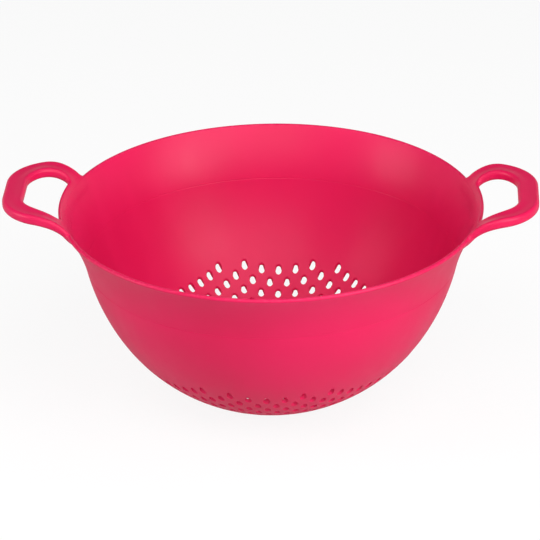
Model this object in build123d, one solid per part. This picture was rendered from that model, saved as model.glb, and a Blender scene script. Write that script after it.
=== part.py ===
from build123d import *
import math
import os

# Kitchen colander in one colour of hard plastic: a round bowl with a flared collar, a rounded lip,
# a perforated base on a low foot ring, and two raised loop handles.
# Z is up, the origin lies on the table under the middle of the bowl, and the handles point along X.
# The real object is one moulding. Its regions meet face to face along level or upright seams.

# Bowl sizes in millimetres, where a depth is measured down from the top of the lip
lip_radius = 120.4
lip_thickness = 2.6
lip_lean = 32.9
wall = 1.6
collar_seam_depth = 7.0
crease_depth = 30.2
crease_lean = 13.7
shoulder_end_depth = 69.3
sphere_radius = 107.3
sphere_centre_depth = 14.2
strainer_depth = 70.0
flat_radius = 28.0

# Foot ring sizes
foot_width = 3.0
foot_height = 2.0
foot_edge_radius = 0.6

# Drain hole sizes, where the spacing is between neighbours in a square grid turned by 45 degrees
hole_diameter = 4.0
hole_spacing = 7.29
hole_edge_margin = 3.2
hole_foot_margin = 0.4

# Handle sizes, where the projection and the climb are measured out from the edge of the lip
handle_projection = 32.8
handle_climb = 18.6
handle_band_width = 11.9
handle_thickness = 6.0
handle_leg_spread = 80.8
handle_corner_radius = 29.9
handle_rise = 11.4
handle_edge_radius = 1.5
handle_root_radius = 4.0
handle_underside_radius = 2.2
handle_ledge_width = 1.6
handle_window_radius = 3.2

# One overrun serves every cut
overrun = 5.0


def polar(centre, radius, degrees):
    angle = math.radians(degrees)
    return (centre[0] + radius * math.cos(angle), centre[1] + radius * math.sin(angle))


def shifted(point, normal, distance):
    return (point[0] + distance * normal[0], point[1] + distance * normal[1])


def unit(vector):
    length = math.hypot(*vector)
    return (vector[0] / length, vector[1] / length)


def lean_normal(degrees):
    # Outward normal of a wall that leans outward going up, in radius and depth
    angle = math.radians(degrees)
    return (math.cos(angle), math.sin(angle))


# Heights that follow from the bowl's section
lip_round = lip_thickness / 2
flat_depth = sphere_centre_depth + math.sqrt(sphere_radius**2 - flat_radius**2)
lip_height = flat_depth + foot_height

# Distances from the bowl's axis to the end of a handle and to where it runs level
handle_reach = lip_radius + handle_projection
handle_level_reach = lip_radius + handle_climb


def wall_stations():
    # Points of the outer surface with their normals, from the lip down to the flat base
    lip_centre = (lip_radius - lip_round, lip_round)
    top_normal = lean_normal(lip_lean)
    top = shifted(lip_centre, top_normal, wall / 2)
    sine_span = math.sin(math.radians(lip_lean)) - math.sin(math.radians(crease_lean))
    flare = (crease_depth - top[1]) / sine_span
    flare_centre = shifted(top, top_normal, flare)
    middle_normal = lean_normal((lip_lean + crease_lean) / 2)
    crease_normal = lean_normal(crease_lean)
    crease = shifted(flare_centre, crease_normal, -flare)
    sphere_centre = (0, sphere_centre_depth)
    drop = shoulder_end_depth - sphere_centre_depth
    shoulder = (math.sqrt(sphere_radius**2 - drop**2), shoulder_end_depth)
    shoulder_normal = unit((shoulder[0], drop))
    chord = (crease[0] - shoulder[0], crease[1] - shoulder[1])
    square = chord[0] ** 2 + chord[1] ** 2
    bend = -square / (2 * (chord[0] * shoulder_normal[0] + chord[1] * shoulder_normal[1]))
    bend_centre = shifted(shoulder, shoulder_normal, -bend)
    upper = ((crease[0] - bend_centre[0]) / bend, (crease[1] - bend_centre[1]) / bend)
    between = unit((upper[0] + shoulder_normal[0], upper[1] + shoulder_normal[1]))
    fold = unit((upper[0] + crease_normal[0], upper[1] + crease_normal[1]))
    edge = (flat_radius, flat_depth)
    edge_normal = unit((edge[0], edge[1] - sphere_centre_depth))
    half = unit((edge_normal[0] + shoulder_normal[0], edge_normal[1] + shoulder_normal[1]))
    return [
        (top, top_normal),
        (shifted(flare_centre, middle_normal, -flare), middle_normal),
        (crease, fold),
        (shifted(bend_centre, between, bend), between),
        (shoulder, shoulder_normal),
        (shifted(sphere_centre, half, sphere_radius), half),
        (edge, edge_normal),
    ]


def section_point(point):
    return (point[0], lip_height - point[1])


def arc_chain(points):
    arcs = []
    for start in range(0, len(points) - 1, 2):
        arcs.append(ThreePointArc(*points[start : start + 3]))
    return arcs


stations = wall_stations()
outer_points = [section_point(point) for point, normal in stations]
inner_points = [section_point(shifted(point, normal, -wall)) for point, normal in stations]
floor_drop = math.sqrt((sphere_radius - wall) ** 2 - (flat_depth - wall - sphere_centre_depth) ** 2)
inner_points[-1] = section_point((floor_drop, flat_depth - wall))


def lathe(face):
    return revolve(Plane.XZ * face, Axis.Z, 360)


def level_band(low, high):
    # Everything between two heights, as a section that is wider than the bowl
    span = lip_radius + handle_reach
    return Pos(0, low) * Rectangle(span, high - low, align=(Align.MIN, Align.MIN))


def wall_section():
    base = (0, outer_points[-1][1])
    floor = (0, inner_points[-1][1])
    edges = arc_chain(outer_points) + [Line(outer_points[-1], base), Line(base, floor)]
    edges += [Line(floor, inner_points[-1])] + arc_chain(inner_points)
    edges += [Line(inner_points[0], outer_points[0])]
    return make_face(edges)


shell = wall_section()
seam_height = lip_height - collar_seam_depth
crease_height = lip_height - crease_depth
strainer_height = lip_height - strainer_depth
drilled = shell & level_band(0, strainer_height)
plate = drilled & Rectangle(flat_radius, lip_height, align=(Align.MIN, Align.MIN))


def make_lip():
    bead = Pos(lip_radius - lip_round, lip_height - lip_round) * Circle(lip_round)
    return lathe(bead + (shell & level_band(seam_height, lip_height)))


def make_ring(low, high):
    return lathe(shell & level_band(low, high))


def make_foot():
    block = Rectangle(foot_width, foot_height, align=(Align.MIN, Align.MIN))
    profile = Pos(flat_radius - foot_width, 0) * block
    lower = profile.vertices().group_by(Axis.Y)[0]
    return lathe(fillet(lower, foot_edge_radius))


def hole_places():
    # A square grid at 45 degrees to the handles, clipped to a circle and kept off the foot ring
    step = hole_spacing / math.sqrt(2)
    seam_radius = math.sqrt(sphere_radius**2 - (strainer_depth - sphere_centre_depth) ** 2)
    reach = seam_radius - hole_diameter / 2 - hole_edge_margin
    keep_off = (foot_width + hole_diameter) / 2 + hole_foot_margin
    count = math.ceil(reach / step)
    places = []
    for row in range(-count, count + 1):
        for column in range(-count, count + 1):
            distance = step * math.hypot(row, column)
            on_grid = (row + column) % 2 == 0
            off_foot = abs(distance - (flat_radius - foot_width / 2)) > keep_off
            if on_grid and off_foot and distance <= reach:
                places.append((step * column, step * row))
    return places


def make_drilled(section):
    # Straight holes, because the mould opens along the bowl's axis
    drill = Cylinder(hole_diameter / 2, lip_height, align=(Align.CENTER, Align.CENTER, Align.MIN))
    inner, outer = section.bounding_box().min.X, section.bounding_box().max.X
    places = [place for place in hole_places() if inner < math.hypot(*place) < outer]
    return lathe(section) - [Pos(*place) * drill for place in places]


def bowl_envelope():
    # The bowl and lip as if they were full, to shape what seats against them
    bead_place = (lip_radius - lip_round, lip_height - lip_round)
    corners = [outer_points[-1], (0, outer_points[-1][1]), (0, bead_place[1])]
    corners += [(outer_points[0][0], bead_place[1]), outer_points[0]]
    full = make_face(arc_chain(outer_points) + list(Polyline(*corners).edges()))
    return lathe(full + Pos(*bead_place) * Circle(lip_round))


def handle_outline(reach, spread, corner):
    # Two straight legs and a grip across their ends, drawn from the bowl's axis outward
    half = spread / 2
    turn = corner * math.sqrt(2) / 2
    centre = (reach - corner, half - corner)
    path = [
        Line((0, -half), (centre[0], -half)),
        ThreePointArc((centre[0], -half), (centre[0] + turn, -centre[1] - turn), (reach, -centre[1])),
        Line((reach, -centre[1]), (reach, centre[1])),
        ThreePointArc((reach, centre[1]), (centre[0] + turn, centre[1] + turn), (centre[0], half)),
        Line((centre[0], half), (0, half)),
        Line((0, half), (0, -half)),
    ]
    return make_face(path)


def handle_plan():
    band = handle_band_width
    outline = handle_outline(handle_reach, handle_leg_spread, handle_corner_radius)
    joined = outline + Circle(lip_radius)
    meeting = [v for v in joined.vertices() if abs(math.hypot(v.X, v.Y) - lip_radius) < lip_round]
    roots = [v for v in meeting if v.X > 0]
    rooted = fillet(roots, handle_root_radius)
    spread = handle_leg_spread - 2 * band
    inner = handle_outline(handle_reach - band, spread, handle_corner_radius - band)
    window = inner - Circle(lip_radius + handle_ledge_width)
    corners = window.vertices().group_by(Axis.X)[0]
    window = fillet(corners, handle_window_radius)
    # The root's fillet touches the lip's circle at this distance from the middle line
    share = lip_radius / (lip_radius + handle_root_radius)
    root_half = (handle_leg_spread / 2 + handle_root_radius) * share
    frame = Rectangle(handle_reach, 2 * root_half, align=(Align.MIN, Align.CENTER))
    return (rooted & frame) - window


def handle_layer():
    # A shell of even height that climbs off the crest of the lip, bends over and runs level.
    # Its underside turns level again below the lip, where it meets the wall
    crest = (lip_radius - lip_round, lip_height)
    run = handle_level_reach - crest[0]
    radius = (run**2 + handle_rise**2) / (2 * handle_rise)
    centre = (handle_level_reach, lip_height + handle_rise - radius)
    start = math.degrees(math.atan2(radius - handle_rise, -run))
    middle = polar(centre, radius, (start + 90) / 2)
    level = (handle_level_reach, lip_height + handle_rise)
    end = (handle_reach + overrun, level[1])
    top = [crest, middle, level, end]
    bottom = [shifted(point, (0, -1), handle_thickness) for point in top]
    tail = (crest[0] - handle_thickness * (radius - handle_rise) / run, bottom[0][1])
    edges = [Line(top[-1], bottom[-1])]
    for row in (top, bottom):
        edges += [Line(tail, row[0]), ThreePointArc(*row[:3]), Line(row[2], row[3])]
    section = make_face(edges)
    turn = section.vertices().sort_by_distance((*bottom[0], 0))[0]
    return Rot(0, 0, 180) * lathe(fillet(turn, handle_underside_radius))


def is_handle_rim(edge):
    # Upright edges and the smooth lines where the climb starts and ends need no rounding
    middle = edge @ 0.5
    upright = abs((edge % 0.5).Z) > 0.99
    reaches = [math.hypot(point.X, point.Y) for point in (edge @ 0, middle, edge @ 1)]
    smooth = max(abs(reach - handle_level_reach) for reach in reaches) < lip_round
    return reaches[1] > lip_radius + handle_ledge_width / 2 and not upright and not smooth


def make_handle():
    body = extrude(handle_plan(), 2 * lip_height) & handle_layer()
    rims = [edge for edge in body.edges() if is_handle_rim(edge)]
    return fillet(rims, handle_edge_radius) - bowl_envelope()


right_handle = make_handle()
pieces = {
    "lip": make_lip(),
    "collar": make_ring(crease_height, seam_height),
    "bowl_side": make_ring(strainer_height, crease_height),
    "strainer_wall": make_drilled(drilled - plate),
    "base_plate": make_drilled(plate),
    "foot_ring": make_foot(),
    "right_handle": right_handle,
    "left_handle": Rot(0, 0, 180) * right_handle,
}

os.makedirs("parts", exist_ok=True)
for name, piece in pieces.items():
    export_step(piece, f"parts/{name}.step", write_pcurves=False)
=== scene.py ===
import math

import bpy
import numpy as np
from mathutils import Matrix, Vector
from mathutils.geometry import delaunay_2d_cdt


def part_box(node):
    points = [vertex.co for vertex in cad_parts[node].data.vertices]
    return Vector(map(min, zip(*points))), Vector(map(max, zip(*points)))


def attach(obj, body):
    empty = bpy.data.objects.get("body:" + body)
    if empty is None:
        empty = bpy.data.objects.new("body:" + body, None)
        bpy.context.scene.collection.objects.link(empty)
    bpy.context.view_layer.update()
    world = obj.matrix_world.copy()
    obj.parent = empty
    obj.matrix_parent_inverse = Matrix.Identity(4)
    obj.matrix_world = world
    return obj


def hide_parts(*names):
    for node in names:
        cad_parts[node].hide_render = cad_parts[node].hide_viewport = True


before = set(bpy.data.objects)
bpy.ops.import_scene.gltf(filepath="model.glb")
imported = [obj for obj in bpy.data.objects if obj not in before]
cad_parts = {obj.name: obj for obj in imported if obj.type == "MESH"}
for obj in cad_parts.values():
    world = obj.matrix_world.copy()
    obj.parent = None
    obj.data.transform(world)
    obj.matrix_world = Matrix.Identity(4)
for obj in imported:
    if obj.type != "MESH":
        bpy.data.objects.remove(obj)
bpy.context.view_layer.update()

# One millimetre, so that sizes read as they would on a drawing
mm = 0.001

# The camera, found from the lip's ellipse, the hole lattice and the handles
PHOTO_SIZE = 540
FOCAL_PIXELS = 3308
SENSOR_WIDTH = 36
CAMERA_DISTANCE = 1920 * mm
CAMERA_ELEVATION = 26.045
CAMERA_AZIMUTH = 2.85
CAMERA_ROLL = -0.887
CAMERA_RIGHT = -1.188 * mm
CAMERA_UP = 6.702 * mm
CAMERA_CLIP = (0.1, 20)
AIM_DEPTH = 48 * mm

# Bowl sizes, where a depth is measured down from the top of the lip
LIP_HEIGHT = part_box("lip")[1].z
LIP_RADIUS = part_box("lip")[1].x
LIP_ROUND = 1.3 * mm
LIP_LEAN = 32.9
WALL = 1.6 * mm
LIP_SEAM_DEPTH = LIP_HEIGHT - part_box("collar")[1].z
CREASE_DEPTH = LIP_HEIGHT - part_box("bowl_side")[1].z
CREASE_LEAN = 13.7
CREASE_GROOVE_WIDTH = 0.8 * mm
CREASE_GROOVE_DEPTH = 0.2 * mm
SHOULDER_DEPTH = 69.3 * mm
SPHERE_RADIUS = 107.3 * mm
SPHERE_CENTRE_DEPTH = 14.2 * mm
STRAINER_DEPTH = LIP_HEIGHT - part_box("strainer_wall")[1].z
FLAT_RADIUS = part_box("base_plate")[1].x
FLAT_DEPTH = LIP_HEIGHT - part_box("base_plate")[0].z
LIP_SWELL = LIP_ROUND - WALL / 2
LIP_SWELL_DEPTH = 9 * mm

# Foot ring sizes
FOOT_WIDTH = 3 * mm
FOOT_EDGE = 0.6 * mm

# Drain hole sizes
HOLE_RADIUS = 2 * mm
HOLE_SPACING = 7.29 * mm
HOLE_REACH = 86.4 * mm
HOLE_FOOT_GAP = 3.9 * mm
HOLE_INNER_ROUND = 0.1 * mm
HOLE_OUTER_ROUND = 0.45 * mm

# How finely each mesh is divided
TURNS = 256
ARC_STEPS = 24
HOLE_SIDES = 32
HOLE_EDGE_STEPS = 4
WELD_STEP = 0.001 * mm
DOUBLED = 1e-9
MESH_TOLERANCE = 1e-7

# Handle sizes
HANDLE_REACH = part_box("right_handle")[1].x
HANDLE_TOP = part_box("right_handle")[1].z
HANDLE_BAND = 11.9 * mm
HANDLE_THICKNESS = 6 * mm
HANDLE_HALF_SPREAD = 40.4 * mm
HANDLE_CORNER = 29.9 * mm
HANDLE_LEVEL_REACH = 139 * mm
HANDLE_START = 0.8 * mm
HANDLE_EDGE = 2.1 * mm
HANDLE_LEDGE = 1.6 * mm
HANDLE_WINDOW_CORNER = 4 * mm
HANDLE_DISH = 0.35 * mm
HANDLE_TILT = 0.28 * mm
HANDLE_UNDERSIDE = 2.2 * mm
HANDLE_BLEND = 2.6 * mm
HANDLE_GRID = 0.45 * mm
HANDLE_BLEND_LIMIT = 0.97
HANDLE_MARGIN = 1 * mm
HANDLE_SIDE_MARGIN = 6 * mm
HANDLE_ROOT_REACH = 12 * mm
HANDLE_ROOT_DEPTH = 20 * mm
INWARD_FADE = 1.2
SLOPE_STEP = 0.02 * mm
LEAST_SLOPE = 0.2
SETTLING_ROUNDS = 4

# Colours of the plastic, in linear light
PLASTIC_DEEP = (0.65, 0.006, 0.074)
PLASTIC_PALE = (0.7, 0.009, 0.088)
PLASTIC_WORN = (0.78, 0.05, 0.15)
PLASTIC_SPECULAR = 0.24

# How the plastic's surface varies: sizes across of its patches, and how they are stretched
CLOUD_SIZE = 90 * mm
STREAK_SIZE = 14 * mm
STREAK_STRETCH = (1, 1, 0.18)
GRAIN_SIZE = 0.9 * mm
RIPPLE_SIZE = 7 * mm
SCUFF_SIZE = 3 * mm
SCUFF_STRETCH = (1, 2.5, 0.6)
PATCH_SIZE = 40 * mm

# Which part of each noise counts, and how far it shows
CLOUD_SPAN = (0.35, 0.65)
STREAK_SPAN = (0.45, 0.75)
STREAK_SHARE = 0.35
WORN_SPAN = (0.45, 0.7)
WORN_SHARE = 0.5
SCUFF_SPAN = (0.58, 0.72)
PATCH_SPAN = (0.5, 0.7)
SHEEN_SPAN = (0.3, 0.7)
SHEEN_DROP = 0.02
SHEEN_RISE = 0.03
MARK_ROUGHNESS = 0.09
GRAIN_RELIEF = (0.25, 0.02 * mm)
RIPPLE_RELIEF = (0.3, 0.03 * mm)
BOWL_POLISH = 0.4
HANDLE_POLISH = 0.36

# The studio: floor and world levels, where 1 is white
FLOOR_REACH = 6
FLOOR_ROUGHNESS = 0.9
FLOOR_PALE = 0.6
FLOOR_SEEN_PALE = 0.95
FLOOR_WHITE_SHARE = 0.88
GLOSS_WHITE_SHARE = 0.1
HORIZON_LEVEL = 1
CEILING_LEVEL = 0.12
CEILING_SPAN = (0.1, 0.3)

# Soft boxes: name, azimuth from the camera and elevation in degrees, width and height, level
LAMP_DISTANCE = 1.4
LAMPS = [
    ("left_strip", -80, 18, (0.4, 0.9), 6.5),
    ("right_strip", 52, 20, (0.7, 0.9), 6),
    ("front_box", 5, 42, (1.3, 0.9), 2.7),
    ("high_left_box", -60, 60, (0.7, 0.7), 2.1),
    ("high_right_box", 60, 60, (0.7, 0.7), 2.8),
]


def unit(vector):
    return np.asarray(vector) / np.hypot(*vector)


def lean_normal(degrees):
    angle = math.radians(degrees)
    return np.array([math.cos(angle), math.sin(angle)])


def add_object(name, vertices, faces, normals=None, material=None):
    mesh = bpy.data.meshes.new(name)
    mesh.from_pydata([tuple(v) for v in vertices], [], faces)
    mesh.update()
    mesh.shade_smooth()
    if normals is not None:
        mesh.normals_split_custom_set(normals)
    if material:
        mesh.materials.append(material)
    piece = bpy.data.objects.new(name, mesh)
    bpy.context.scene.collection.objects.link(piece)
    return piece


# The bowl's section in radius and depth, as three arcs: flare, shoulder and sphere

def flare_arc():
    # Centre and radius of the flare's outer side, whose centre lies outside the bowl
    start = np.array([LIP_RADIUS - LIP_ROUND, LIP_ROUND]) + WALL / 2 * lean_normal(LIP_LEAN)
    span = math.sin(math.radians(LIP_LEAN)) - math.sin(math.radians(CREASE_LEAN))
    radius = (CREASE_DEPTH - start[1]) / span
    return start + radius * lean_normal(LIP_LEAN), radius


FLARE_CENTRE, FLARE_RADIUS = flare_arc()
LIP_CENTRE = np.array([LIP_RADIUS - LIP_ROUND, LIP_ROUND])


def swell(depth):
    # The wall thickens smoothly into the full round of the lip
    share = np.clip((depth - LIP_ROUND) / (LIP_SWELL_DEPTH - LIP_ROUND), 0, 1)
    return LIP_SWELL * (1 - share * share * (3 - 2 * share))


def flare_rows(start, end, side, steps):
    # Points and normals of the flare between two depths, side 1 for outside and -1 for inside
    rows = []
    for depth in np.linspace(start, end, steps + 1):
        lean = math.asin((FLARE_CENTRE[1] - depth) / (FLARE_RADIUS + WALL / 2))
        normal = np.array([math.cos(lean), math.sin(lean)])
        middle = FLARE_CENTRE - (FLARE_RADIUS + WALL / 2) * normal
        point = middle + side * (WALL / 2 + swell(middle[1])) * normal
        rows.append((point, side * normal))
    return rows


def shoulder_stations():
    # The crease, the shoulder's end on the sphere, and the centre and radius of the arc between them
    sphere_centre = np.array([0, SPHERE_CENTRE_DEPTH])
    crease = FLARE_CENTRE - FLARE_RADIUS * lean_normal(CREASE_LEAN)
    drop = SHOULDER_DEPTH - SPHERE_CENTRE_DEPTH
    shoulder = np.array([math.sqrt(SPHERE_RADIUS**2 - drop**2), SHOULDER_DEPTH])
    shoulder_normal = unit(shoulder - sphere_centre)
    chord = crease - shoulder
    bend = -(chord @ chord) / (2 * (chord @ shoulder_normal))
    bend_centre = shoulder - bend * shoulder_normal
    return crease, shoulder, bend_centre, bend


def shoulder_rows(side, steps):
    # From the crease to the sphere
    crease, shoulder, centre, radius = shoulder_stations()
    first, last = (crease - centre) / radius, (shoulder - centre) / radius
    inset = 0 if side > 0 else WALL
    rows = []
    for angle in np.linspace(math.atan2(first[1], first[0]), math.atan2(last[1], last[0]), steps + 1):
        normal = np.array([math.cos(angle), math.sin(angle)])
        rows.append((centre + (radius - inset) * normal, side * normal))
    return rows


def sphere_depth(radius, side):
    ball = SPHERE_RADIUS if side > 0 else SPHERE_RADIUS - WALL
    depth = SPHERE_CENTRE_DEPTH + np.sqrt(ball**2 - np.asarray(radius) ** 2)
    limit = FLAT_DEPTH if side > 0 else FLAT_DEPTH - WALL
    return np.minimum(depth, limit)


def sphere_radius_at(depth, side):
    ball = SPHERE_RADIUS if side > 0 else SPHERE_RADIUS - WALL
    return math.sqrt(ball**2 - (depth - SPHERE_CENTRE_DEPTH) ** 2)


def sphere_rows(start, end, side, steps):
    rows = []
    for depth in np.linspace(start, end, steps + 1):
        point = np.array([sphere_radius_at(depth, side), depth])
        rows.append((point, side * unit(point - np.array([0, SPHERE_CENTRE_DEPTH]))))
    return rows


def lathe(name, rows, material):
    # Turns closed rows of points and normals about the bowl's axis. Ends of a smooth run are doubled points
    angles = np.arange(TURNS) * 2 * math.pi / TURNS
    turn = np.stack([np.cos(angles), np.sin(angles)], 1)
    points, normals = [], []
    for point, normal in rows:
        ring = np.concatenate([point[0] * turn, np.full((TURNS, 1), LIP_HEIGHT - point[1])], 1)
        slope = np.concatenate([normal[0] * turn, np.full((TURNS, 1), -normal[1])], 1)
        points.append(ring)
        normals.append(slope)
    points, normals = np.concatenate(points), np.concatenate(normals)
    faces = []
    count = len(rows)
    for row in range(count):
        after = (row + 1) % count
        if np.hypot(*(rows[row][0] - rows[after][0])) < DOUBLED:
            continue
        for step in range(TURNS):
            beside = (step + 1) % TURNS
            here, there = row * TURNS, after * TURNS
            faces.append((here + step, there + step, there + beside, here + beside))
    return merged(name, points, normals, faces, material)


def merged(name, points, normals, faces, material):
    # Welds doubled points into closed surfaces and keeps each corner's own normal
    keys = np.round(points / WELD_STEP).astype(np.int64)
    _, first, back = np.unique(keys, axis=0, return_index=True, return_inverse=True)
    back = back.reshape(-1)
    welded = [tuple(int(back[i]) for i in face) for face in faces]
    corner_normals = [tuple(normals[i]) for face in faces for i in face]
    kept, corners, start = [], [], 0
    for face, plain in zip(faces, welded):
        if len(set(plain)) == len(plain):
            kept.append(plain)
            corners += corner_normals[start : start + len(face)]
        start += len(face)
    return add_object(name, points[first], kept, corners, material)


def closing(rows_out, rows_in):
    # A closed section: down the outside, across the bottom seam, up the inside and across the top seam
    down, up = np.array([0.0, 1.0]), np.array([0.0, -1.0])
    rows = list(rows_out)
    rows += [(rows_out[-1][0], down), (rows_in[-1][0], down)]
    rows += list(reversed(rows_in))
    rows += [(rows_in[0][0], up), (rows_out[0][0], up)]
    return rows


def level_end(rows, depth, end=-1):
    # Moves one end of a run along its own tangent to a level seam. The end is 0 or -1
    point, normal = rows[end]
    tangent = np.array([-normal[1], normal[0]])
    rows[end] = (point + tangent * (depth - point[1]) / tangent[1], normal)
    return rows


def grooved(rows, end):
    # Sinks one end of a run into the fine groove along the crease. The end is 0 or -1
    point, normal = rows[end]
    away = unit(rows[1 if end == 0 else -2][0] - point)
    edge = point + CREASE_GROOVE_WIDTH / 2 * away
    sunk = point - CREASE_GROOVE_DEPTH * normal
    tilted = unit(normal - 2 * CREASE_GROOVE_DEPTH / CREASE_GROOVE_WIDTH * away)
    finish = [(edge, normal), (sunk, tilted)]
    return finish[::-1] + rows[1:] if end == 0 else rows[:-1] + finish


def make_lip(material):
    outside = flare_rows(LIP_ROUND, LIP_SEAM_DEPTH, 1, ARC_STEPS // 2)
    inside = flare_rows(LIP_ROUND, LIP_SEAM_DEPTH, -1, ARC_STEPS // 2)
    outside = level_end(outside, LIP_SEAM_DEPTH)
    inside = level_end(inside, LIP_SEAM_DEPTH)
    lean = math.radians(LIP_LEAN)
    crown = []
    for angle in np.linspace(lean - math.pi, lean, ARC_STEPS + 1):
        normal = np.array([math.cos(angle), math.sin(angle)])
        crown.append((LIP_CENTRE + LIP_ROUND * normal, normal))
    down = np.array([0.0, 1.0])
    rows = crown + outside[1:] + [(outside[-1][0], down), (inside[-1][0], down)] + inside[:0:-1]
    piece = lathe("lip_ring", rows, material)
    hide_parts("lip")
    return piece


def make_collar(material):
    sides = []
    for side in (1, -1):
        rows = level_end(flare_rows(LIP_SEAM_DEPTH, CREASE_DEPTH, side, ARC_STEPS), LIP_SEAM_DEPTH, 0)
        sides.append(grooved(level_end(rows, CREASE_DEPTH), -1))
    piece = lathe("collar_band", closing(*sides), material)
    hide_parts("collar")
    return piece


def make_side(material):
    sides = []
    for side in (1, -1):
        rows = grooved(level_end(shoulder_rows(side, ARC_STEPS), CREASE_DEPTH, 0), 0)
        end = rows[-1][0][1]
        rows += sphere_rows(end, STRAINER_DEPTH, side, ARC_STEPS // 4)[1:]
        sides.append(rows)
    piece = lathe("side_band", closing(*sides), material)
    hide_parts("bowl_side")
    return piece


# The drilled zone

def hole_places():
    step = HOLE_SPACING / math.sqrt(2)
    count = math.ceil(HOLE_REACH / step)
    ring = FLAT_RADIUS - FOOT_WIDTH / 2
    places, corners = [], []
    for row in range(-count - 2, count + 3):
        for column in range(-count - 2, count + 3):
            distance = step * math.hypot(row, column)
            if (row + column) % 2 == 0:
                if distance <= HOLE_REACH and abs(distance - ring) > HOLE_FOOT_GAP:
                    places.append((step * column, step * row))
            else:
                corners.append((step * column, step * row))
            corners.append((step * (column + 0.5), step * (row + 0.5)))
    return places, corners


def surface_point(x, y, side):
    # Point and outward normal of the drilled wall over a place in plan
    radius = np.hypot(x, y)
    depth = sphere_depth(radius, side)
    limit = FLAT_DEPTH if side > 0 else FLAT_DEPTH - WALL
    flat = depth >= limit - DOUBLED
    rise = SPHERE_CENTRE_DEPTH - depth
    normal = np.stack([x, y, np.where(flat, 0, rise)], -1)
    normal = np.where(flat[..., None], np.array([0, 0, -1.0]), normal)
    normal = side * normal / np.linalg.norm(normal, axis=-1, keepdims=True)
    return np.stack([x, y, LIP_HEIGHT - depth], -1), normal


def hole_rows(place):
    # Rows of points and normals round one hole, from the inner surface through to the outer
    angles = np.arange(HOLE_SIDES) * 2 * math.pi / HOLE_SIDES
    along = np.stack([np.cos(angles), np.sin(angles)], 1)
    edge = np.array(place) + HOLE_RADIUS * along
    rows = []
    for side, rounding in ((-1, HOLE_INNER_ROUND), (1, HOLE_OUTER_ROUND)):
        base, normal = surface_point(edge[:, 0], edge[:, 1], side)
        slope = -(normal[:, :2] * along).sum(1) / normal[:, 2]
        tilt = np.arctan(slope)
        away = np.stack([np.cos(tilt), np.sin(tilt)], 1)
        into = np.array([0, -1.0]) if side < 0 else np.array([0, 1.0])
        opening = np.arccos(np.clip(away @ into, -1, 1))
        reach = rounding / np.tan(opening / 2)
        half = away + into
        half /= np.linalg.norm(half, axis=1, keepdims=True)
        centre = half * (rounding / np.sin(opening / 2))[:, None]
        first = (away * reach[:, None] - centre) / rounding
        last = (into * reach[:, None] - centre) / rounding
        swing = np.arccos(np.clip((first * last).sum(1), -1, 1))
        bank = []
        for step in range(HOLE_EDGE_STEPS + 1):
            share = step / HOLE_EDGE_STEPS
            weight_a = np.sin((1 - share) * swing) / np.sin(swing)
            weight_b = np.sin(share * swing) / np.sin(swing)
            facing = first * weight_a[:, None] + last * weight_b[:, None]
            spot = centre + rounding * facing
            plan = edge + spot[:, :1] * along
            ground, ground_normal = surface_point(plan[:, 0], plan[:, 1], side)
            lift = spot[:, 1] - slope * spot[:, 0]
            point = ground + np.stack([np.zeros(HOLE_SIDES), np.zeros(HOLE_SIDES), lift], 1)
            way = np.concatenate([facing[:, :1] * along, facing[:, 1:]], 1)
            if step == 0:
                way = ground_normal
            bank.append((point, way))
        rows += bank if side < 0 else bank[::-1]
    return rows


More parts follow.
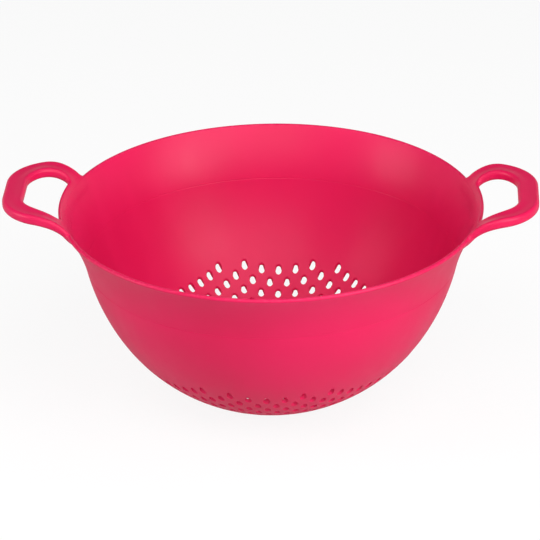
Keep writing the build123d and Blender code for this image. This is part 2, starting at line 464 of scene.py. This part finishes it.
def make_drilled(name, node, inner_limits, outer_limits, material):
    # A drilled wall: two sheets with the holes' rims as edges, the hole walls, and the seams at its limits
    places, corners = hole_places()
    low = max(inner_limits[0], outer_limits[0])
    high = min(inner_limits[1], outer_limits[1])
    places = [p for p in places if low < math.hypot(*p) < high]
    points, normals, faces = [], [], []
    total = 0
    angles = np.arange(TURNS) * 2 * math.pi / TURNS
    holes = np.array(places)
    banks = [hole_rows(place) for place in places]
    for side, limits in ((-1, inner_limits), (1, outer_limits)):
        plan, edges = [], []
        for bank in banks:
            rim = bank[0 if side < 0 else -1][0]
            start = len(plan)
            plan += [tuple(p[:2]) for p in rim]
            edges += [(start + i, start + (i + 1) % HOLE_SIDES) for i in range(HOLE_SIDES)]
        for limit in limits:
            if limit == 0:
                continue
            start = len(plan)
            plan += [(limit * math.cos(a), limit * math.sin(a)) for a in angles]
            edges += [(start + i, start + (i + 1) % TURNS) for i in range(TURNS)]
        plan += filler_points(places, corners, limits)
        result = delaunay_2d_cdt([Vector(p) for p in plan], edges, [], 0, MESH_TOLERANCE)
        found, triangles = result[0], result[2]
        flat = np.array([tuple(p) for p in found])
        base, slope = surface_point(flat[:, 0], flat[:, 1], side)
        kept = []
        for triangle in triangles:
            middle = flat[list(triangle)].mean(0)
            if not limits[0] < np.hypot(*middle) < limits[1]:
                continue
            if np.min(np.hypot(*(holes - middle).T)) < HOLE_RADIUS:
                continue
            corner = flat[list(triangle)]
            a, b = corner[1] - corner[0], corner[2] - corner[0]
            turns_left = a[0] * b[1] - a[1] * b[0] > 0
            ordered = triangle if turns_left == (side < 0) else triangle[::-1]
            kept.append(tuple(total + i for i in ordered))
        points.append(base)
        normals.append(slope)
        faces += kept
        total += len(base)
    for bank in banks:
        for row, (spots, ways) in enumerate(bank):
            points.append(spots)
            normals.append(ways)
            if row:
                for i in range(HOLE_SIDES):
                    j = (i + 1) % HOLE_SIDES
                    before = total - HOLE_SIDES
                    faces.append((before + i, before + j, total + j, total + i))
            total += HOLE_SIDES
    turn = np.stack([np.cos(angles), np.sin(angles)], 1)
    for place, (inside, outside) in enumerate(zip(inner_limits, outer_limits)):
        if inside == 0:
            continue
        way = np.array([0, 0, 1.0]) if inside != outside else None
        rings = []
        for limit, side in ((inside, -1), (outside, 1)):
            ring, _ = surface_point(limit * turn[:, 0], limit * turn[:, 1], side)
            points.append(ring)
            facing = np.concatenate([turn, np.zeros((TURNS, 1))], 1) * (1 if place else -1)
            normals.append(np.tile(way, (TURNS, 1)) if way is not None else facing)
            rings.append(total)
            total += TURNS
        for i in range(TURNS):
            j = (i + 1) % TURNS
            face = (rings[0] + i, rings[1] + i, rings[1] + j, rings[0] + j)
            faces.append(face if place else face[::-1])
    piece = merged(name, np.concatenate(points), np.concatenate(normals), faces, material)
    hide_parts(node)
    return piece


def filler_points(places, corners, limits):
    # Points between the holes, so that no triangle is long enough to flatten the curved wall
    margin = HOLE_SPACING / 6
    found = []
    for corner in corners:
        if limits[0] + margin < math.hypot(*corner) < limits[1] - margin:
            nearest = min(math.hypot(corner[0] - p[0], corner[1] - p[1]) for p in places)
            if nearest > HOLE_SPACING / 2 - margin / 2:
                found.append(corner)
    return found


def make_foot(material):
    # The foot ring with its lower edges rounded
    outer, inner = FLAT_RADIUS, FLAT_RADIUS - FOOT_WIDTH
    rows = [(np.array([outer, FLAT_DEPTH]), np.array([1.0, 0]))]
    for centre, start in ((outer - FOOT_EDGE, 0), (inner + FOOT_EDGE, math.pi / 2)):
        for angle in np.linspace(start, start + math.pi / 2, ARC_STEPS // 4 + 1):
            normal = np.array([math.cos(angle), math.sin(angle)])
            rows.append((np.array([centre, LIP_HEIGHT - FOOT_EDGE]) + FOOT_EDGE * normal, normal))
    rows.append((np.array([inner, FLAT_DEPTH]), np.array([-1.0, 0])))
    top = np.array([0.0, -1.0])
    rows += [(np.array([inner, FLAT_DEPTH]), top), (np.array([outer, FLAT_DEPTH]), top)]
    piece = lathe("foot_rim", rows, material)
    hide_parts("foot_ring")
    return piece


# The handles, as a rounded solid found from its distance field, so that it flows into the lip

def rounded_meeting(first, second, radius):
    # Distance to where two regions overlap, with the edge between them rounded
    a, b = first + radius, second + radius
    return np.hypot(np.maximum(a, 0), np.maximum(b, 0)) + np.minimum(np.maximum(a, b), 0) - radius


def rounded_frame(x, y, reach, half, corner):
    a, b = np.abs(x) - reach + corner, np.abs(y) - half + corner
    return np.hypot(np.maximum(a, 0), np.maximum(b, 0)) + np.minimum(np.maximum(a, b), 0) - corner


def wall_distance(radius, depth):
    # Distance to the lip and the flared wall, and how far a point lies inward of the wall's middle
    middle = FLARE_RADIUS + WALL / 2
    across = middle - np.hypot(radius - FLARE_CENTRE[0], depth - FLARE_CENTRE[1])
    thick = WALL / 2 + swell(depth)
    wall = np.abs(across) - thick
    bead = np.hypot(radius - LIP_CENTRE[0], depth - LIP_CENTRE[1]) - LIP_ROUND
    lean = lean_normal(LIP_LEAN)
    above = (radius - LIP_CENTRE[0]) * -lean[1] + (depth - LIP_CENTRE[1]) * lean[0] < 0
    beyond = np.where(depth < LIP_CENTRE[1], radius - LIP_CENTRE[0], across)
    return np.where(above, bead, wall), -beyond


def climb_height(radius):
    # Height of the handle's top face over the table, climbing off the lip's crest and running level
    crest = LIP_RADIUS - LIP_ROUND
    level = HANDLE_TOP - HANDLE_TILT
    run, rise = HANDLE_LEVEL_REACH - crest, level - LIP_HEIGHT - HANDLE_START
    bend = (run**2 + rise**2) / (2 * rise)
    away = np.clip(HANDLE_LEVEL_REACH - radius, 0, run)
    height = level - bend + np.sqrt(bend**2 - away**2)
    return height - np.maximum(crest - radius, 0) * run / (bend - rise)


def soft_maximum(first, second, reach):
    mix = np.maximum(reach - np.abs(first - second), 0) / reach
    return np.maximum(first, second) + mix * mix * reach / 4


def leg_tilt(x, y, outline):
    # The legs' inner edges stand a little higher than their outer edges
    a, b = np.abs(x) - HANDLE_REACH + HANDLE_CORNER, np.abs(y) - HANDLE_HALF_SPREAD + HANDLE_CORNER
    a, b = np.maximum(a, 0), np.maximum(b, 0)
    weight = b * b / (a * a + b * b + mm * mm)
    across = np.clip(-2 * outline / HANDLE_BAND - 1, -1.2, 1)
    fade = np.clip(2 + outline / HANDLE_BAND, 0, 1)
    return HANDLE_TILT * weight * across * fade


def handle_distance(points):
    # Distance to the right handle with its root blended into the lip, negative inside
    x, y, z = points[..., 0], points[..., 1], points[..., 2]
    radius = np.hypot(x, y)
    outline = rounded_frame(x, y, HANDLE_REACH, HANDLE_HALF_SPREAD, HANDLE_CORNER)
    gap_reach, gap_half = HANDLE_REACH - HANDLE_BAND, HANDLE_HALF_SPREAD - HANDLE_BAND
    gap = rounded_frame(x, y, gap_reach, gap_half, HANDLE_CORNER - HANDLE_BAND)
    ledge = LIP_RADIUS + HANDLE_LEDGE - radius
    window = rounded_meeting(gap, ledge, HANDLE_WINDOW_CORNER)
    plan = np.maximum(outline, -window)
    share = np.clip((-plan - HANDLE_EDGE / 2) / (HANDLE_BAND / 2 - HANDLE_EDGE / 2), 0, 1)
    dish = HANDLE_DISH * share * share * (3 - 2 * share)
    top = climb_height(radius)
    lowest = LIP_HEIGHT + HANDLE_START - HANDLE_THICKNESS
    under = soft_maximum(top - HANDLE_THICKNESS, lowest, HANDLE_UNDERSIDE)
    tilt = leg_tilt(x, y, outline)
    slope = np.clip((HANDLE_LEVEL_REACH - radius) / (HANDLE_LEVEL_REACH - LIP_RADIUS + LIP_ROUND), 0, 1)
    lean = 1 / np.sqrt(1 + 2 * slope**2)
    upper = (z - top - tilt + dish) * lean
    lower = (under + tilt - z) * lean
    solid = rounded_meeting(plan, np.maximum(upper, lower), HANDLE_EDGE)
    wall, inward = wall_distance(radius, LIP_HEIGHT - z)
    solid = rounded_meeting(solid, inward, HANDLE_START)
    past = np.maximum(inward, 0)
    fade = INWARD_FADE * past * past / (past + LIP_ROUND)
    apart = np.abs(solid - wall) + fade
    mix = np.maximum(HANDLE_BLEND - apart, 0) / HANDLE_BLEND
    joined = np.minimum(solid, wall) - mix * mix * HANDLE_BLEND / 4
    limit = solid + fade - HANDLE_BLEND_LIMIT * HANDLE_BLEND
    return np.maximum(np.maximum(joined, limit), -(wall + WALL / 5))


def field_slopes(points):
    rows = []
    for axis in range(3):
        shift = np.zeros(3)
        shift[axis] = SLOPE_STEP
        rows.append(handle_distance(points + shift) - handle_distance(points - shift))
    return np.stack(rows, -1) / (2 * SLOPE_STEP)


def surface_net(low, high):
    # One point in each grid cell that the surface crosses, and one face for each crossed grid edge
    counts = np.ceil((np.array(high) - np.array(low)) / HANDLE_GRID).astype(int) + 1
    axes = [low[i] + HANDLE_GRID * np.arange(counts[i]) for i in range(3)]
    grid = np.stack(np.meshgrid(*axes, indexing="ij"), -1)
    field = handle_distance(grid)
    inside = field < 0
    cells = counts - 1
    total = np.zeros(tuple(cells) + (3,))
    hits = np.zeros(tuple(cells))
    for axis in range(3):
        others = [i for i in range(3) if i != axis]
        here = [slice(None)] * 3
        there = [slice(None)] * 3
        here[axis], there[axis] = slice(0, -1), slice(1, None)
        a, b = field[tuple(here)], field[tuple(there)]
        crossed = (a < 0) != (b < 0)
        share = np.where(crossed, a / np.where(crossed, a - b, 1), 0)
        spot = grid[tuple(here)].copy()
        spot[..., axis] += share * HANDLE_GRID
        for first in (0, 1):
            for second in (0, 1):
                cut = [slice(None)] * 3
                cut[others[0]] = slice(first, first + cells[others[0]])
                cut[others[1]] = slice(second, second + cells[others[1]])
                found = crossed[tuple(cut)]
                total += spot[tuple(cut)] * found[..., None]
                hits += found
    used = hits > 0
    points = total[used] / hits[used][:, None]
    index = np.full(tuple(cells), -1)
    index[used] = np.arange(len(points))
    faces = []
    for axis in range(3):
        b, c = (axis + 1) % 3, (axis + 2) % 3
        here = [slice(1, -1)] * 3
        there = [slice(1, -1)] * 3
        here[axis], there[axis] = slice(0, -1), slice(1, None)
        crossed = inside[tuple(here)] != inside[tuple(there)]
        spots = np.argwhere(crossed)
        spots[:, b] += 1
        spots[:, c] += 1
        starts_inside = inside[tuple(spots.T)]
        ring = []
        for back_b, back_c in ((1, 1), (0, 1), (0, 0), (1, 0)):
            cell = spots.copy()
            cell[:, b] -= back_b
            cell[:, c] -= back_c
            ring.append(index[tuple(cell.T)])
        ring = np.stack(ring, 1)
        ring[~starts_inside] = ring[~starts_inside][:, ::-1]
        faces.append(ring)
    return points, np.concatenate(faces)


def make_handles(material):
    # The right handle's net is drawn onto the surface, then turned half round for the left handle
    low = (
        LIP_RADIUS - HANDLE_ROOT_REACH,
        -HANDLE_HALF_SPREAD - HANDLE_SIDE_MARGIN,
        LIP_HEIGHT - HANDLE_ROOT_DEPTH,
    )
    high = (HANDLE_REACH + HANDLE_MARGIN, HANDLE_HALF_SPREAD + HANDLE_SIDE_MARGIN, HANDLE_TOP + HANDLE_MARGIN)
    points, faces = surface_net(low, high)
    for _ in range(SETTLING_ROUNDS):
        slope = field_slopes(points)
        size = np.maximum((slope * slope).sum(1), LEAST_SLOPE)
        step = handle_distance(points) / size
        points = points - np.clip(step, -HANDLE_GRID / 2, HANDLE_GRID / 2)[:, None] * slope
    normals = field_slopes(points)
    normals /= np.linalg.norm(normals, axis=1, keepdims=True)
    pieces = []
    for name, node, turn in (("right_loop", "right_handle", 1), ("left_loop", "left_handle", -1)):
        spin = np.array([turn, turn, 1])
        corners = (normals * spin)[faces.reshape(-1)]
        piece = add_object(name, points * spin, faces.tolist(), corners.tolist(), material)
        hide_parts(node)
        pieces.append(piece)
    return pieces


def make_camera():
    tilt, roll = math.radians(CAMERA_ELEVATION), math.radians(CAMERA_ROLL)
    turn = Matrix.Rotation(math.radians(CAMERA_AZIMUTH), 3, "Z")
    level_right = Vector((1, 0, 0))
    level_up = Vector((0, math.sin(tilt), math.cos(tilt)))
    right = turn @ (math.cos(roll) * level_right + math.sin(roll) * level_up)
    up = turn @ (math.cos(roll) * level_up - math.sin(roll) * level_right)
    back = turn @ Vector((0, -math.cos(tilt), math.sin(tilt)))
    aim = Vector((0, 0, LIP_HEIGHT - AIM_DEPTH))
    place = aim + CAMERA_DISTANCE * back + CAMERA_RIGHT * right + CAMERA_UP * up
    data = bpy.data.cameras.new("camera")
    data.sensor_width = SENSOR_WIDTH
    data.lens = FOCAL_PIXELS / PHOTO_SIZE * SENSOR_WIDTH
    data.clip_start, data.clip_end = CAMERA_CLIP
    camera = bpy.data.objects.new("camera", data)
    camera.matrix_world = Matrix.Translation(place) @ Matrix((right, up, back)).transposed().to_4x4()
    bpy.context.scene.collection.objects.link(camera)
    bpy.context.scene.camera = camera


# Moulded plastic

def mapped_noise(tree, place, size, detail, stretch=(1, 1, 1)):
    # Noise whose patches are about the given size across
    mapping = tree.nodes.new("ShaderNodeMapping")
    mapping.inputs["Scale"].default_value = stretch
    texture = tree.nodes.new("ShaderNodeTexNoise")
    texture.inputs["Scale"].default_value = 1 / size
    texture.inputs["Detail"].default_value = detail
    tree.links.new(place, mapping.inputs["Vector"])
    tree.links.new(mapping.outputs["Vector"], texture.inputs["Vector"])
    return texture.outputs["Fac"]


def spread(tree, source, span, result):
    # Smoothly carries one range of values to another
    made = tree.nodes.new("ShaderNodeMapRange")
    made.interpolation_type = "SMOOTHSTEP"
    for name, value in zip(("From Min", "From Max", "To Min", "To Max"), (*span, *result)):
        made.inputs[name].default_value = value
    tree.links.new(source, made.inputs["Value"])
    return made.outputs["Result"]


def combined(tree, operation, first, second):
    made = tree.nodes.new("ShaderNodeMath")
    made.operation = operation
    tree.links.new(first, made.inputs[0])
    tree.links.new(second, made.inputs[1])
    return made.outputs["Value"]


def blended(tree, share, first, second):
    made = tree.nodes.new("ShaderNodeMixRGB")
    tree.links.new(share, made.inputs["Fac"])
    for socket, colour in ((made.inputs["Color1"], first), (made.inputs["Color2"], second)):
        if isinstance(colour, tuple):
            socket.default_value = (*colour, 1)
        else:
            tree.links.new(colour, socket)
    return made.outputs["Color"]


def raised(tree, height, strength, distance):
    bump = tree.nodes.new("ShaderNodeBump")
    bump.inputs["Strength"].default_value = strength
    bump.inputs["Distance"].default_value = distance
    tree.links.new(height, bump.inputs["Height"])
    return bump


def plastic(name, rubbed_height, rubbed_span, polish):
    # Raspberry plastic with flow streaks, a fine grain, faint scuffs and rubbed edges
    material = bpy.data.materials.new(name)
    material.use_nodes = True
    tree = material.node_tree
    shader = tree.nodes["Principled BSDF"]
    shader.inputs["Specular IOR Level"].default_value = PLASTIC_SPECULAR
    place = tree.nodes.new("ShaderNodeTexCoord").outputs["Object"]
    clouds = mapped_noise(tree, place, CLOUD_SIZE, 2)
    streaks = mapped_noise(tree, place, STREAK_SIZE, 3, STREAK_STRETCH)
    grain = mapped_noise(tree, place, GRAIN_SIZE, 2)
    ripple = mapped_noise(tree, place, RIPPLE_SIZE, 1)
    scuffs = mapped_noise(tree, place, SCUFF_SIZE, 6, SCUFF_STRETCH)
    patches = mapped_noise(tree, place, PATCH_SIZE, 2)

    colour = blended(tree, spread(tree, clouds, CLOUD_SPAN, (0, 1)), PLASTIC_DEEP, PLASTIC_PALE)
    colour = blended(tree, spread(tree, streaks, STREAK_SPAN, (0, STREAK_SHARE)), colour, PLASTIC_PALE)
    height = tree.nodes.new("ShaderNodeSeparateXYZ")
    tree.links.new(place, height.inputs["Vector"])
    rubbed = spread(tree, height.outputs["Z"], (rubbed_height - rubbed_span, rubbed_height), (0, 1))
    foot = spread(tree, height.outputs["Z"], (0, FOOT_EDGE), (1, 0))
    rubbed = combined(tree, "MAXIMUM", rubbed, foot)
    worn = combined(tree, "MULTIPLY", rubbed, spread(tree, scuffs, WORN_SPAN, (0, WORN_SHARE)))
    colour = blended(tree, worn, colour, PLASTIC_WORN)
    tree.links.new(colour, shader.inputs["Base Color"])

    scratched = spread(tree, scuffs, SCUFF_SPAN, (0, 1))
    marked = combined(tree, "MULTIPLY", scratched, spread(tree, patches, PATCH_SPAN, (0, 1)))
    marked = combined(tree, "MAXIMUM", marked, worn)
    sheen = spread(tree, streaks, SHEEN_SPAN, (polish - SHEEN_DROP, polish + SHEEN_RISE))
    rough = combined(tree, "ADD", sheen, spread(tree, marked, (0, 1), (0, MARK_ROUGHNESS)))
    tree.links.new(rough, shader.inputs["Roughness"])

    fine = raised(tree, grain, *GRAIN_RELIEF)
    coarse = raised(tree, ripple, *RIPPLE_RELIEF)
    tree.links.new(fine.outputs["Normal"], coarse.inputs["Normal"])
    tree.links.new(coarse.outputs["Normal"], shader.inputs["Normal"])
    return material


# The studio

def seen_directly(tree):
    # How much of the white floor a ray shows: all to the camera and through clear things, less in gloss
    path = tree.nodes.new("ShaderNodeLightPath")
    seen = combined(tree, "MAXIMUM", path.outputs["Is Camera Ray"], path.outputs["Is Transmission Ray"])
    gloss = spread(tree, path.outputs["Is Glossy Ray"], (0, 1), (0, GLOSS_WHITE_SHARE))
    return combined(tree, "MAXIMUM", seen, gloss)


def make_stage():
    corners = [(FLOOR_REACH * x, FLOOR_REACH * y, 0) for x, y in ((-1, -1), (1, -1), (1, 1), (-1, 1))]
    floor = add_object("floor", corners, [(0, 1, 2, 3)])
    material = bpy.data.materials.new("floor")
    material.use_nodes = True
    tree = material.node_tree
    shader = tree.nodes["Principled BSDF"]
    shader.inputs["Roughness"].default_value = FLOOR_ROUGHNESS
    shader.inputs["Specular IOR Level"].default_value = 0
    white = tree.nodes.new("ShaderNodeEmission")
    seen = seen_directly(tree)
    pale = spread(tree, seen, (0, 1), (FLOOR_PALE, FLOOR_SEEN_PALE))
    tree.links.new(pale, shader.inputs["Base Color"])
    share = spread(tree, seen, (0, 1), (0, FLOOR_WHITE_SHARE))
    mix = tree.nodes.new("ShaderNodeMixShader")
    tree.links.new(share, mix.inputs["Fac"])
    tree.links.new(shader.outputs["BSDF"], mix.inputs[1])
    tree.links.new(white.outputs["Emission"], mix.inputs[2])
    tree.links.new(mix.outputs["Shader"], tree.nodes["Material Output"].inputs["Surface"])
    floor.data.materials.append(material)


def make_world():
    # White to the camera, and otherwise a pale horizon under a dimmer ceiling
    world = bpy.data.worlds.new("studio")
    bpy.context.scene.world = world
    world.use_nodes = True
    tree = world.node_tree
    background = tree.nodes["Background"]
    place = tree.nodes.new("ShaderNodeTexCoord").outputs["Generated"]
    height = tree.nodes.new("ShaderNodeSeparateXYZ")
    tree.links.new(place, height.inputs["Vector"])
    level = spread(tree, height.outputs["Z"], CEILING_SPAN, (HORIZON_LEVEL, CEILING_LEVEL))
    path = tree.nodes.new("ShaderNodeLightPath")
    level = combined(tree, "MAXIMUM", level, path.outputs["Is Camera Ray"])
    tree.links.new(level, background.inputs["Strength"])
    background.inputs["Color"].default_value = (1, 1, 1, 1)


def make_lamp(name, azimuth, elevation, size, level):
    # A soft box that faces the bowl. Its level is how bright its face looks, where 1 is white
    turn, lift = math.radians(azimuth + CAMERA_AZIMUTH), math.radians(elevation)
    away = Vector((math.sin(turn) * math.cos(lift), -math.cos(turn) * math.cos(lift), math.sin(lift)))
    data = bpy.data.lights.new(name, "AREA")
    data.shape = "RECTANGLE"
    data.size, data.size_y = size
    data.energy = level * math.pi * size[0] * size[1]
    lamp = bpy.data.objects.new(name, data)
    place = Vector((0, 0, LIP_HEIGHT / 2)) + LAMP_DISTANCE * away
    lamp.matrix_world = Matrix.Translation(place) @ away.to_track_quat("Z", "Y").to_matrix().to_4x4()
    bpy.context.scene.collection.objects.link(lamp)


make_camera()
make_stage()
make_world()
for lamp in LAMPS:
    make_lamp(*lamp)
coat = plastic("bowl_plastic", LIP_HEIGHT, LIP_ROUND, BOWL_POLISH)
grip_coat = plastic("handle_plastic", HANDLE_TOP, HANDLE_DISH, HANDLE_POLISH)
pieces = [make_lip(coat), make_collar(coat), make_side(coat), make_foot(coat)]
strainer = [(FLAT_RADIUS, sphere_radius_at(STRAINER_DEPTH, side)) for side in (-1, 1)]
pieces.append(make_drilled("strainer_shell", "strainer_wall", *strainer, coat))
pieces.append(make_drilled("base_disc", "base_plate", (0, FLAT_RADIUS), (0, FLAT_RADIUS), coat))
handles = make_handles(grip_coat)
for piece in pieces + handles:
    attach(piece, "root")
bpy.context.scene.view_settings.view_transform = "Standard"
